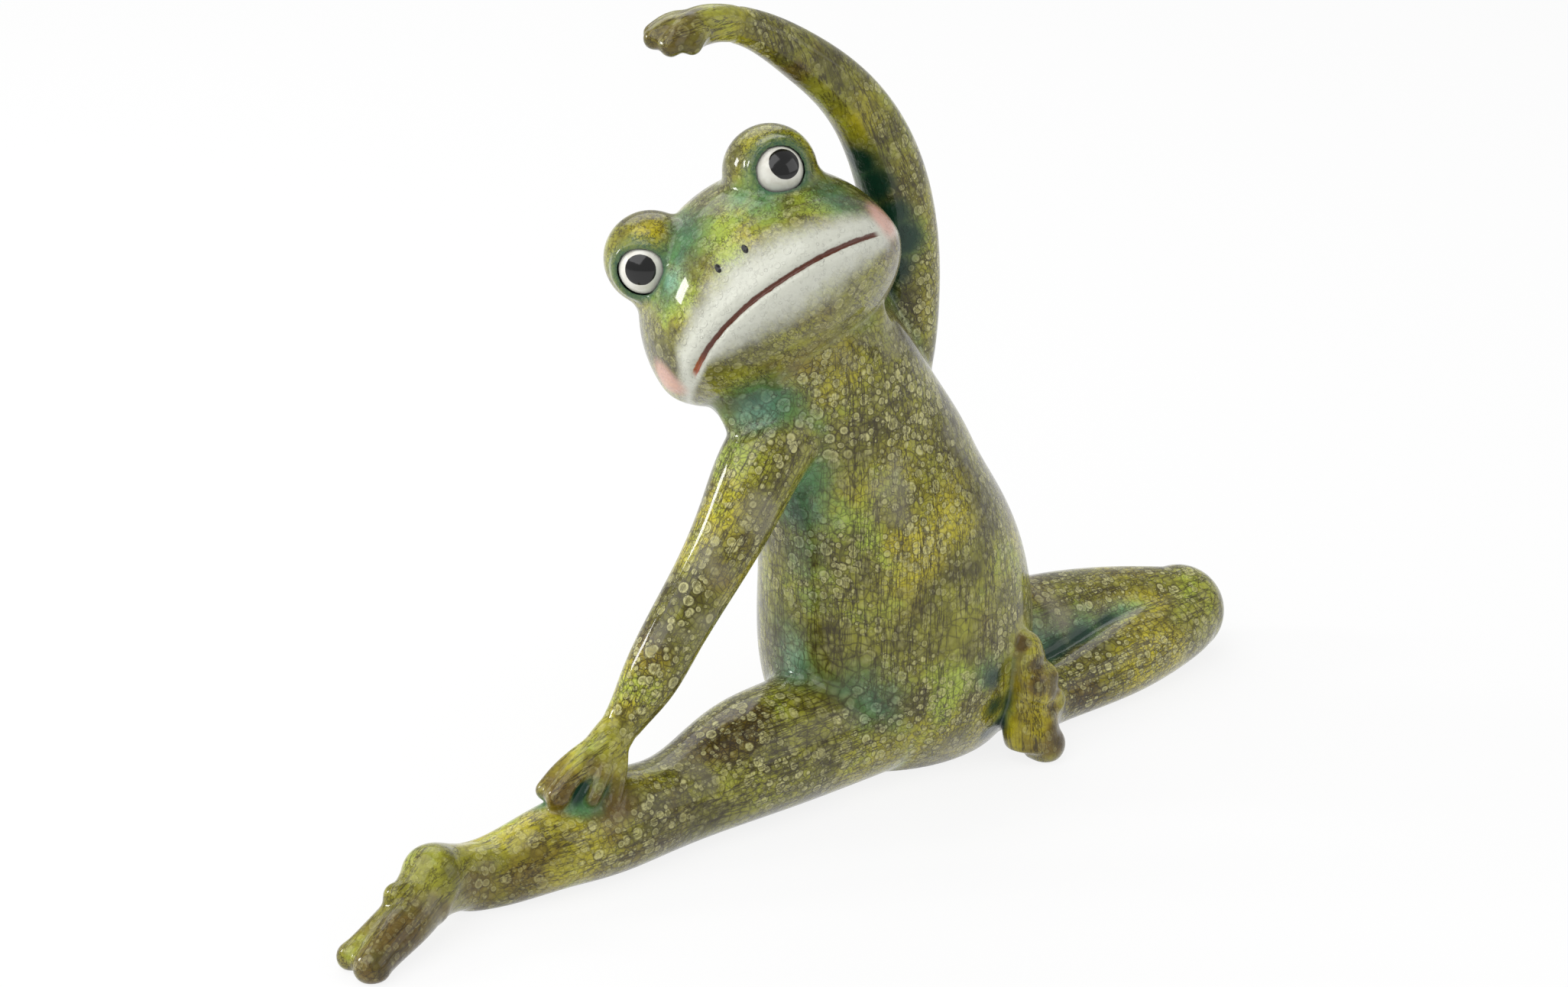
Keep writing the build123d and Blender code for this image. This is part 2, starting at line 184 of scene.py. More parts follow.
# Where each colour gathered in the glaze, where painted shade and painted sheen lie,
# and where it stayed bare of bubbles: middle, reach and strength
SPOTS = {
    "teal": (
        ((-40, 10, 203), 17, 1.4),
        ((-19, -5, 218), 15, 1.3),
        ((-48, 6, 191), 12, 1.4),
        ((3, -16, 217), 14, 1.6),
        ((-22, -7, 146), 15, 1.1),
        ((-6, -3, 55), 16, 0.9),
        ((14, -29, 36), 13, 1.0),
        ((9, -26, 45), 11, 0.9),
        ((-7, -11, 106), 14, 1.1),
        ((-5, -10, 91), 12, 0.9),
        ((-6, -15, 117), 11, 0.8),
        ((33, 5, 215), 13, 1.3),
        ((42, 0, 192), 14, 1.3),
        ((53, -39, 40), 8, 1.0),
        ((92, -8, 32), 12, 1.0),
        ((108, -8, 30), 12, 1.0),
        ((124, -8, 29), 11, 0.8),
        ((142, -6, 30), 9, 0.6),
        ((-4, -13, 72), 8, 0.6),
        ((-103, -20, 29), 8, 1.4),
        ((-98, -23, 34), 6, 1.2),
        ((-114, -12, 30), 6, 1.2),
        ((30, 38, 40), 16, 0.8),
        ((20, 36, 150), 14, 0.8),
    ),
    # dark teal along creases and where parts meet: partly glaze pooling, partly painted shade
    "crease_shade_and_teal": (
        ((98, -12, 23), 9, 0.6),
        ((110, -10, 23), 9, 0.6),
        ((122, -9, 24), 9, 0.6),
        ((136, -8, 26), 8, 0.5),
        ((57, -38, 37), 7, 0.7),
        ((60, -36, 24), 7, 0.7),
        ((62, -32, 10), 7, 0.7),
        ((-92, -8, 29), 6, 0.9),
        ((-100, -15, 29.5), 6, 0.9),
        ((-104, -20, 33), 4, 0.8),
        ((-97, -20, 34), 4, 0.8),
        ((31, 7, 219), 8, 0.9),
        ((36, 4, 210), 9, 0.9),
        ((41, 1, 200), 9, 0.8),
        ((43, -2, 191), 10, 0.9),
        ((42, 0, 180), 9, 0.8),
        ((-8, -11, 104), 8, 0.5),
    ),
    # light aqua where lamps catch the neck, the belly's edge and the eye: partly glaze, partly painted
    # reflection
    "aqua_and_reflection": (
        ((-24, -9, 141), 9, 1.0),
        ((-6, -3, 55), 12, 1.0),
        ((-5, -8, 80), 9, 0.8),
        ((-49, 4, 194), 6, 1.0),
        ((45, -26, 135), 12, 0.5),
        ((40, 0, 205), 8, 0.4),
    ),
    "gold": (
        ((-44, -14, 116), 15, 1.0),
        ((-11, 8, 236), 11, 0.8),
        ((-47, 21, 205), 10, 0.8),
        ((-30, -3, 212), 7, 1.0),
        ((-33, -13, 207), 8, 0.7),
        ((-51, -3, 183), 8, 0.8),
        ((71, -42, 22), 9, 2.6),
        ((74, -45, 14), 5, 1.6),
        ((-52, -10, 100), 14, 0.9),
        ((-78, -16, 66), 12, 0.8),
        ((26, -36, 88), 15, 0.9),
        ((40, -36, 95), 13, 0.7),
        ((13, -29, 116), 10, 0.5),
        ((-110, -24, 20), 14, 0.4),
        ((144, -22, 12), 16, 0.6),
        ((24, 4, 234), 15, 0.9),
        ((38, 2, 218), 12, 0.8),
        ((46, -1, 190), 10, 0.5),
        ((40, 40, 90), 22, 0.8),
    ),
    "bare": (
        ((5, 6, 250), 24, 1.0),
        ((24, 4, 234), 16, 0.9),
        ((36, 2, 220), 14, 0.8),
        ((45, 0, 203), 12, 0.5),
        ((-130, -20, 16), 24, 0.8),
        ((-84, -22, 14), 18, 0.5),
        ((56, 8, 205), 14, 0.5),
        ((28, -36, 70), 12, 0.5),
        ((48, -30, 82), 20, 0.6),
        ((40, -38, 50), 14, 0.5),
    ),
    "leaf": (
        ((-33, -3, 209), 10, 1.3),
        ((-19, -5, 218), 10, 1.2),
        ((-8, -18, 217), 11, 1.1),
        ((-35, -13, 204), 9, 1.0),
        ((-49, -2, 188), 10, 1.1),
        ((8, -26, 100), 12, 0.8),
        ((-2, -15, 85), 10, 0.7),
        ((40, -39, 38), 13, 0.9),
        ((-35, -3, 130), 11, 0.8),
        ((-80, -17, 63), 10, 0.7),
        ((50, 10, 225), 14, 0.6),
        ((152, -12, 28), 13, 0.6),
        ((30, 40, 112), 20, 0.7),
    ),
    # painted sheen: grey-mauve patches that stand in for a soft lamp's reflection
    "mauve_sheen": (
        ((9, -26, 138), 8, 0.7),
        ((20, -30, 120), 10, 0.9),
        ((-31, -23, 116), 9, 1.0),
        ((25, -20, 165), 10, 0.9),
        ((48, -25, 123), 13, 1.0),
        ((3, -27, 31), 10, 0.6),
        ((120, -10, 35), 14, 0.7),
        ((-60, -20, 25), 14, 0.6),
        ((60, 30, 110), 16, 0.8),
    ),
    "brown": (
        ((-14, -17, 162), 12, 0.8),
        ((-165, -28, 18), 14, 1.0),
        ((-142, -24, 12), 14, 0.9),
        ((-180, -36, 12), 10, 1.2),
        ((-96, -20, 42), 7, 1.0),
        ((-108, -21, 36), 6, 1.0),
        ((0, 4, 256), 8, 0.9),
        ((74, -43, 31), 3.2, 3.2),
        ((81, -43, 29), 4, 3.2),
        ((75, -41, 38), 3.2, 2.6),
        ((80, -46, 12), 4, 3.0),
        ((81, -45, 20), 3, 2.4),
        ((71, -37, 46), 3, 3.0),
        ((-188, -42, 5), 10, 1.4),
        ((-165, -20, 27), 6, 1.4),
        ((-112, -20, 34), 6, 1.2),
        ((-32, -18, 38), 16, 1.3),
        ((-50, -17, 34), 14, 1.1),
        ((1, -23, 138), 8, 0.9),
        ((-130, -28, 12), 15, 1.0),
        ((-92, -26, 16), 14, 0.8),
        ((-72, -24, 12), 13, 0.8),
        ((150, -20, 14), 14, 0.7),
        ((110, -28, 12), 13, 0.7),
        ((58, 6, 190), 14, 0.8),
        ((20, -38, 60), 12, 0.6),
        ((100, 15, 36), 16, 0.7),
        ((-75, -15, 75), 12, 0.8),
    ),
}

# How the skin's hollows, seams and brush strokes are read for the paint and for the painted shade in the
# creases
NEAR_BLUR = 1.8
WIDE_BLUR = 7.5
SEAM_WIDTH = 6.0
END_DEPTH = 1.5
WARM_PERCENTILES = (45, 90)
END_BARENESS = 0.9
BRUSH_STRETCH = (0.08, 1.0, 1.0)

# Glaze colours
OLIVE = (0.095, 0.088, 0.008)
MOSS = (0.325, 0.322, 0.026)
GOLD = (0.62, 0.53, 0.016)
LEAF = (0.42, 0.54, 0.06)
UMBER = (0.03, 0.019, 0.005)
BURNT = (0.125, 0.068, 0.009)
# grey-mauve of the painted sheen, a lamp's reflection
SHEEN_MAUVE = (0.3, 0.28, 0.2)
CREAM = (0.64, 0.61, 0.27)
TEAL = (0.022, 0.115, 0.075)
EMERALD = (0.075, 0.26, 0.095)
AQUA = (0.2, 0.45, 0.33)
# near-black teal of the creases: partly glaze, partly painted shade
DEEP_TEAL_AND_SHADE = (0.006, 0.038, 0.02)
LIP_WHITE = (0.64, 0.65, 0.56)
CHEEK_PINK = (0.74, 0.4, 0.32)
MOUTH_BROWN = (0.11, 0.026, 0.01)
MOUTH_RED = (0.42, 0.11, 0.045)
EYE_WHITE = (0.8, 0.79, 0.72)
EYE_SHADE = (0.72, 0.7, 0.62)
BLACK = (0.006, 0.006, 0.006)

# Packed cells of the glaze: cells to a metre and the noise between which they show;
# burst bubbles: cells to a metre, smallest and largest share of a cell, strength
PACKED_CELLS = ((400.0, 0.36, 0.5), (240.0, 0.58, 0.44))
BUBBLES = ((195.0, 0.06, 0.48, 0.82), (310.0, 0.05, 0.5, 0.76), (600.0, 0.0, 0.44, 0.5))

# The photograph's camera, measured from the head's origin
CAMERA_FROM_HEAD = (-644.27, -890.85, 376.58)
CAMERA_AZIMUTH = -36.0
CAMERA_ELEVATION = 22.0
CAMERA_LENS = 80.0
SENSOR_WIDTH = 36.0


def rotation(axis, degrees):
    return np.array(Matrix.Rotation(math.radians(degrees), 3, axis))


def bell(distance, width):
    return np.exp(-((distance / width) ** 2))


def smoothstep(value, low, high):
    """Rises from 0 at low to 1 at high; falls where low is the larger."""
    share = np.clip((value - low) / (high - low), 0, 1)
    return share * share * (3 - 2 * share)


def soft_min(first, second, blend):
    """The lower of two distances, rounded where they cross."""
    share = np.maximum(blend - np.abs(first - second), 0) / blend
    return np.minimum(first, second) - blend / 4 * share**2


class Field:
    """A block of signed distances on a grid common to the whole figure."""

    def __init__(self, low, values, step=VOXEL):
        self.low = np.asarray(low)
        self.values = values
        self.step = step

    @classmethod
    def of_surface(cls, points, reach, triangles=None, quads=None, step=VOXEL, margin=MARGIN):
        low = np.floor((points.min(0) - margin) / step).astype(int)
        high = np.ceil((points.max(0) + margin) / step).astype(int)
        grid = openvdb.FloatGrid.createLevelSetFromPolygons(
            points.astype(np.float32),
            triangles=None if triangles is None else triangles.astype(np.uint32),
            quads=None if quads is None else quads.astype(np.uint32),
            transform=openvdb.createLinearTransform(step),
            halfWidth=reach / step,
        )
        values = np.empty(tuple(high - low), np.float32)
        grid.copyToArray(values, ijk=tuple(int(i) for i in low))
        return cls(low, values, step)

    def top(self):
        return self.low + self.values.shape

    def shared(self, other):
        """Slices of this block and of another one where they overlap."""
        low = np.maximum(self.low, other.low)
        high = np.minimum(self.top(), other.top())
        mine = tuple(slice(a, b) for a, b in zip(low - self.low, high - self.low))
        others = tuple(slice(a, b) for a, b in zip(low - other.low, high - other.low))
        return mine, others

    def places(self):
        """Coordinates of the cells, one thin array for each axis."""
        axes = [np.arange(a, b, dtype=np.float32) for a, b in zip(self.low, self.top())]
        return np.meshgrid(*(axis * np.float32(self.step) for axis in axes), indexing="ij", sparse=True)

    def cells(self):
        """Coordinates of the cells, one row for each."""
        return np.stack([axis.ravel() for axis in np.broadcast_arrays(*self.places())], 1)

    def distance_from(self, centre):
        return np.sqrt(sum((axis - np.float32(c)) ** 2 for axis, c in zip(self.places(), centre)))

    def polygons(self, level=0.0):
        grid = openvdb.FloatGrid(float(self.values.max()))
        grid.transform = openvdb.createLinearTransform(self.step)
        grid.copyFromArray(self.values, ijk=tuple(int(i) for i in self.low))
        return grid.convertToQuads(isovalue=level)

    def closed(self, radius):
        """The same form with every inner corner rounded to the radius."""
        points, quads = self.polygons(radius)
        reach = radius + 3 * self.step
        swollen = Field.of_surface(points, reach, quads=quads, step=self.step)
        result = Field(self.low, np.full_like(self.values, reach), self.step)
        mine, others = result.shared(swollen)
        result.values[mine] = swollen.values[others] + radius
        return result

    def halved(self):
        """The same on cells twice as large."""
        count = np.array(self.values.shape) // 2
        values = self.values[tuple(slice(0, 2 * n) for n in count)]
        values = values.reshape(count[0], 2, count[1], 2, count[2], 2).mean((1, 3, 5))
        return Field((self.low + 0.5) / 2, values, 2 * self.step)

    def doubled(self):
        """The same on cells half as large."""
        values = self.values
        for axis in range(3):
            values = np.moveaxis(values, axis, 0)
            finer = np.empty((2 * len(values) - 1, *values.shape[1:]), np.float32)
            finer[0::2] = values
            finer[1::2] = (values[1:] + values[:-1]) / 2
            values = np.moveaxis(finer, 0, axis)
        return Field(2 * self.low, values, self.step / 2)

    def blurred(self, sigma):
        """Softened by a bell curve of that width."""
        steps = int(math.ceil(2.5 * sigma / self.step))
        offsets = np.arange(-steps, steps + 1)
        weights = np.exp(-0.5 * (offsets * self.step / sigma) ** 2)
        weights /= weights.sum()
        values = self.values
        for axis in range(3):
            edges = [(steps, steps) if a == axis else (0, 0) for a in range(3)]
            padded = np.pad(values, edges, mode="edge")
            total = np.zeros_like(values)
            for offset, weight in zip(offsets, weights):
                part = [slice(None)] * 3
                part[axis] = slice(steps + offset, steps + offset + values.shape[axis])
                total += np.float32(weight) * padded[tuple(part)]
            values = total
        return Field(self.low, values, self.step)

    def sample(self, points):
        """Values at points between the cells; outside the block, the nearest cell's."""
        place = points / self.step - self.low
        cell = np.clip(np.floor(place).astype(int), 0, np.array(self.values.shape) - 2)
        share = np.clip(place - cell, 0, 1)
        total = np.zeros(len(points))
        for corner in range(8):
            step = np.array([(corner >> axis) & 1 for axis in range(3)])
            weight = np.where(step == 1, share, 1 - share).prod(1)
            total += weight * self.values[tuple((cell + step).T)]
        return total

    def slope(self, points):
        """Unit direction in which the values rise at points."""
        steps = 0.6 * self.step * np.eye(3)
        rise = np.stack([self.sample(points + step) - self.sample(points - step) for step in steps], 1)
        return rise / np.maximum(np.linalg.norm(rise, axis=1, keepdims=True), 1e-9)


# The head's frame, found from an eyeball
turn, nod, tilt = HEAD_ANGLES
head_axes = rotation("Z", turn) @ rotation("X", nod) @ rotation("Y", tilt)


def middle_of(node):
    low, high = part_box(node)
    return (np.array(low) + np.array(high)) / 2 / MM


def eye_axis(side):
    """The way an eye looks out of the head."""
    return rotation("Z", side * EYE_ANGLES[0]) @ rotation("X", EYE_ANGLES[1]) @ np.array((0.0, -1.0, 0.0))


def eye_place(side):
    """The middle of an eyeball in the head's frame."""
    return np.array((side * EYE_PLACE[0], EYE_PLACE[1], EYE_PLACE[2])) + EYEBALL_OUT * eye_axis(side)


head_origin = middle_of("left_eyeball") - head_axes @ eye_place(1)


def to_head(points):
    return (points - head_origin) @ head_axes


def from_head(point):
    return head_origin + head_axes @ np.array(point)


def above_mouth(local):
    """Height over the mouth line in the head's frame."""
    aside = local[:, 0] - MOUTH_TOP
    return local[:, 2] + np.where(aside < 0, *MOUTH_BENDS) * aside**2


def past_mouth(local):
    """How far a point is beyond the mouth's corners."""
    return np.maximum(MOUTH_ENDS[0] - local[:, 0], local[:, 0] - MOUTH_ENDS[1])


def lip_share(local):
    """How far a point is from the mouth line to the edge of the painted lips, and past it."""
    over = above_mouth(local)
    aside = np.minimum(np.abs(local[:, 0] - MOUTH_TOP) / UPPER_LIP_SPREAD, 1)
    upper = UPPER_LIP - UPPER_LIP_DROP * aside**1.5
    lower = LOWER_LIP - LOWER_LIP_BEND * (local[:, 0] - LOWER_LIP_MIDDLE) ** 2
    share = np.where(over > 0, over / upper, -over / np.maximum(lower, LOWER_LIP_LEAST))
    share += np.maximum(past_mouth(local) - LIP_END, 0) / LIP_END_FADE
    return share + np.maximum(local[:, 1] - LIP_BACK, 0) / LIP_BACK_FADE


def surface_of(node):
    """Points and triangles of a CAD node."""
    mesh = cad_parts[node].data
    points = np.empty(3 * len(mesh.vertices), np.float32)
    mesh.vertices.foreach_get("co", points)
    mesh.calc_loop_triangles()
    triangles = np.empty(3 * len(mesh.loop_triangles), np.int32)
    mesh.loop_triangles.foreach_get("vertices", triangles)
    return points.reshape(-1, 3) / MM, triangles.reshape(-1, 3)


surfaces = {node: surface_of(node) for node in SKIN_NODES}
fields = {node: Field.of_surface(points, REACH, faces) for node, (points, faces) in surfaces.items()}


def united(parts, nodes, reach):
    """Several castings as one form, on a block that holds all the parts."""
    low = np.min([field.low for field in parts.values()], axis=0)
    high = np.max([field.top() for field in parts.values()], axis=0)
    step = parts[nodes[0]].step
    whole = Field(low, np.full(tuple(high - low), reach, np.float32), step)
    for node in nodes:
        mine, others = whole.shared(parts[node])
        whole.values[mine] = np.minimum(whole.values[mine], parts[node].values[others])
    return whole


def large_fillets():
    """The larger fillets, worked out on cells twice as large."""
    coarse = {}
    for node, (points, faces) in surfaces.items():
        margin = WIDE_REACH if node in ANKLE_NODES else MARGIN
        coarse[node] = Field.of_surface(points, WIDE_REACH, faces, step=2 * VOXEL, margin=margin)
    body = united(coarse, SKIN_NODES, WIDE_REACH)
    fill = Field(body.low, np.full_like(body.values, WIDE_REACH), body.step)
    corners = [(side * EYE_PLACE[0], EYE_FILLET_Y, EYE_FILLET_Z) for side in EYES.values()]
    eye_places = [(from_head(corner), EYE_FILLET_REACH) for corner in corners]
    for radius, places, sink in (
        (NECK_FILLET, NECK_PLACES, 0),
        (JOINT_FILLET, JOINT_PLACES, 0),
        (ANKLE_FILLET, ANKLE_PLACES, 0),
        (WRIST_FILLET, WRIST_PLACES, 0),
        (WEB_FILLET, WEB_PLACES, WEB_SINK),
        (FOOT_FILLET, FOOT_PLACES, 0),
        (EYE_FILLET, eye_places, 0),
    ):
        away = np.ones_like(body.values)
        for centre, size in places:
            fade = smoothstep(body.distance_from(centre), *(share * size for share in FADE_SHARES))
            away = np.minimum(away, fade)
        fill.values = np.minimum(fill.values, body.closed(radius).values + sink + FADE_SINK * away)
    return fill.doubled()


def luted():
    """One skin over all the castings, with clay in the corners between them."""
    limbs = [node for node in SKIN_NODES if node not in ENDS]
    skin = united(fields, limbs, REACH).closed(CREASE_FILLET)
    fill = large_fillets()
    mine, others = skin.shared(fill)
    skin.values[mine] = soft_min(skin.values[mine], fill.values[others] + FILL_LIFT, FILL_LIFT)
    digits = united(fields, list(ENDS), REACH).closed(DIGIT_FILLET)
    skin.values = np.minimum(skin.values, digits.values)
    return skin.blurred(SKIN_BLUR)


def carve_head(skin):
    """Eyelids, mouth line, lips and nostrils."""
    part, _ = skin.shared(fields["head"])
    cells = fields["head"].cells()
    values = skin.values[part].ravel()
    for node, side in EYES.items():
        ray = cells - middle_of(node)
        out = np.linalg.norm(ray, axis=1)
        lean = np.arccos(np.clip(ray @ (head_axes @ eye_axis(side)) / np.maximum(out, 1e-6), -1, 1))
        along = EYEBALL_RADIUS * (lean - math.radians(LID_ANGLE))
        lid = np.hypot(out - EYEBALL_RADIUS - LID_LIFT, along) - LID_RADIUS
        values = np.maximum(soft_min(values, lid, LID_BLEND), EYEBALL_RADIUS + EYE_GAP - out)
    local = to_head(cells)
    over = above_mouth(local)
    mouth = smoothstep(past_mouth(local), *MOUTH_END_FADE) * smoothstep(local[:, 1], *FRONT_FADE)
    lips = bell(over - LIP_OFFSET, LIP_WIDTH) + bell(over + LIP_OFFSET, LIP_WIDTH)
    values += mouth * (MOUTH_DEPTH * bell(over, MOUTH_WIDTH) - LIP_SWELL * lips)
    for nostril in (-NOSTRIL_X, NOSTRIL_X):
        spot = np.hypot(local[:, 0] - nostril, local[:, 2] - NOSTRIL_Z)
        values += NOSTRIL_DEPTH * bell(spot, NOSTRIL_WIDTH) * (local[:, 1] < 0)
    skin.values[part] = values.reshape(skin.values[part].shape)


def shape_toes(skin):
    """Swellings of the upright foot's toes and the creases between them."""
    part, _ = skin.shared(fields["left_foot"])
    cells = fields["left_foot"].cells()
    relief = np.zeros(len(cells))
    for centre, width, height in TOE_KNOBS:
        relief += height * bell(np.linalg.norm(cells - np.array(centre), axis=1), width)
    for start, end in np.array(TOE_CREASES, float):
        run = end - start
        along = np.clip((cells - start) @ run / (run @ run), 0, 1)
        distance = np.linalg.norm(cells - start - along[:, None] * run, axis=1)
        relief -= CREASE_DEPTH * bell(distance, CREASE_WIDTH)
    skin.values[part] -= relief.reshape(skin.values[part].shape)


def mesh_of(skin):
    """Points inside the CAD box, faces turned outwards and normals."""
    points, quads = skin.polygons()
    quads = quads.astype(np.int64)
    a, b, c, d = (points[corner].astype(float) for corner in quads.T)
    volume = np.einsum("ij,ij->", a, np.cross(b, c) + np.cross(c, d))
    if volume < 0:
        quads = quads[:, ::-1]
    low, high = (np.array(corner) / MM for corner in cad_box)
    points = np.clip(points.astype(float), low, high)
    return points, quads, skin.slope(points)


def distances_to_castings(points):
    """One column for each casting."""
    columns = []
    for field in fields.values():
        away = ((points < field.low * VOXEL) | (points > field.top() * VOXEL)).any(1)
        columns.append(np.where(away, REACH, field.sample(points)))
    return np.stack(columns, 1)


skin = luted()
carve_head(skin)
shape_toes(skin)
points, quads, normals = mesh_of(skin)
nearness = distances_to_castings(points)
owner = nearness[quads].mean(1).argmin(1)


def limb_ends():
    """How warm the tips of hands and feet are, and how bare of bubbles their skin is."""
    warm = np.zeros(len(points))
    bare = np.zeros(len(points))
    for node, limb in ENDS.items():
        to_end = nearness[:, SKIN_NODES.index(node)]
        to_limb = nearness[:, SKIN_NODES.index(limb)]
        own = to_end < END_DEPTH
        reach = np.linalg.norm(points[own] - middle_of(limb), axis=1)
        warm[own] = smoothstep(reach, *np.percentile(reach, WARM_PERCENTILES))
        lead = np.maximum(to_limb, 0) - np.maximum(to_end, 0)
        bare = np.maximum(bare, smoothstep(lead, -REACH, REACH) * (to_end < REACH))
    return warm, END_BARENESS * bare


def gathered(spots):
    """How strongly a colour gathered at each point."""
    strongest = np.zeros(len(points))
    for centre, size, strength in spots:
        distance = np.linalg.norm(points - np.array(centre), axis=1)
        strongest = np.maximum(strongest, strength * bell(distance, size))
    return strongest


def brush_way(node):
    """Axes of a casting, the longest first."""
    if node == "torso":
        return np.eye(3)[[2, 0, 1]]
    if node == "head":
        return head_axes.T[[1, 0, 2]]
    cloud = surfaces[node][0]
    return np.linalg.svd(cloud - cloud.mean(0), full_matrices=False)[2]


# Paint guides: how hollow the skin is, where colours, painted shade and painted sheen gather, and the face
clay = Field(skin.low, smoothstep(skin.values, VOXEL, -VOXEL)).halved()
ranked = np.sort(nearness, 1)
guides = {name: gathered(spots) for name, spots in SPOTS.items()}
guides["near_hollow"] = clay.blurred(NEAR_BLUR).sample(points)
guides["wide_hollow"] = clay.blurred(WIDE_BLUR).sample(points)
guides["seam"] = 1 - smoothstep(ranked[:, 1] - ranked[:, 0], 0, SEAM_WIDTH)
guides["warm"], bare_ends = limb_ends()
guides["bare"] = np.maximum(guides["bare"], bare_ends)
face = to_head(points)
from_eyes = [np.linalg.norm(points - middle_of(node), axis=1) for node in EYES]
face_guides = {
    "face": face,
    "over": above_mouth(face),
    "lip": lip_share(face),
    "eye_gap": np.min(from_eyes, axis=0) - EYEBALL_RADIUS,
}


class Recipe:
    """A material built from nodes."""

    def __init__(self, name):
        self.material = bpy.data.materials.new(name)
        self.material.use_nodes = True
        self.tree = self.material.node_tree
        self.shader = self.tree.nodes["Principled BSDF"]

    def put(self, socket, value):
        if isinstance(value, bpy.types.NodeSocket):
            self.tree.links.new(value, socket)
        elif isinstance(value, tuple) and len(value) == 3 and socket.type == "RGBA":
            socket.default_value = (*value, 1)
        else:
            socket.default_value = value

    def set(self, **values):
        for key, value in values.items():
            self.put(self.shader.inputs[key.replace("_", " ")], value)

    def node(self, kind, inputs=None, **settings):
        made = self.tree.nodes.new(kind)
        for key, value in settings.items():
            setattr(made, key, value)
        for key, value in (inputs or {}).items():
            self.put(made.inputs[key], value)
        return made

    def attribute(self, name, output="Fac"):
        return self.node("ShaderNodeAttribute", attribute_name=name).outputs[output]

    def math(self, operation, *values):
        return self.node("ShaderNodeMath", dict(enumerate(values)), operation=operation).outputs[0]

    def times_plus(self, value, factor, base):
        return self.math("MULTIPLY_ADD", value, factor, base)

    def product(self, *values):
        total = values[0]
        for value in values[1:]:
            total = self.math("MULTIPLY", total, value)
        return total

    def ramp(self, value, low, high):
        inputs = {"Value": value, "From Min": low, "From Max": high}
        return self.node("ShaderNodeMapRange", inputs, interpolation_type="SMOOTHSTEP").outputs["Result"]

    def mix(self, share, first, second):
        return self.node("ShaderNodeMix", {0: share, 6: first, 7: second}, data_type="RGBA").outputs[2]

    def layer(self, colour, paint, *shares):
        """A colour under paint that covers as much as the shares' product says."""
        return self.mix(self.product(*shares), colour, paint)

    def noise(self, place, scale, detail=3.0, roughness=0.55):
        inputs = {"Vector": place, "Scale": scale, "Detail": detail, "Roughness": roughness}
        return self.node("ShaderNodeTexNoise", inputs).outputs[0]

    def warped(self, place, scale, amount):
        """A place pushed about by soft noise."""
        push = self.node("ShaderNodeTexNoise", {"Vector": place, "Scale": scale, "Detail": 2.0})
        inputs = {0: push.outputs["Color"], 1: (amount, amount, amount), 2: place}
        return self.node("ShaderNodeVectorMath", inputs, operation="MULTIPLY_ADD").outputs[0]

    def cells(self, place, scale):
        """Packed cells: the net of lines between them, their middles and a shade for each."""
        inputs = {"Vector": place, "Scale": scale}
        edge = self.node("ShaderNodeTexVoronoi", inputs, feature="DISTANCE_TO_EDGE")
        cell = self.node("ShaderNodeTexVoronoi", inputs)
        shade = self.node("ShaderNodeSeparateColor", {0: cell.outputs["Color"]}).outputs[1]
        net = self.ramp(edge.outputs["Distance"], 0.11, 0.02)
        return net, self.ramp(cell.outputs["Distance"], 0.5, 0.12), shade

    def bubbles(self, place, scale, smallest, largest):
        """Discs, their rims and the dark line round them, of bubbles burst in the glaze."""
        cells = self.node("ShaderNodeTexVoronoi", {"Vector": place, "Scale": scale})
        size = self.node("ShaderNodeSeparateColor", {0: cells.outputs["Color"]}).outputs[0]
        radius = self.times_plus(size, largest - smallest, smallest)
        beyond = self.math("SUBTRACT", cells.outputs["Distance"], radius)
        disc = self.ramp(beyond, 0.03, -0.06)
        rim = self.product(disc, self.ramp(beyond, -0.2, -0.06))
        line = self.product(self.ramp(beyond, 0.0, 0.04), self.ramp(beyond, 0.16, 0.05))
        return disc, rim, line

    def bump(self, height, distance, normal=None):
        inputs = {"Height": height, "Distance": distance, "Strength": 1.0}
        if normal is not None:
            inputs["Normal"] = normal
        return self.node("ShaderNodeBump", inputs).outputs["Normal"]


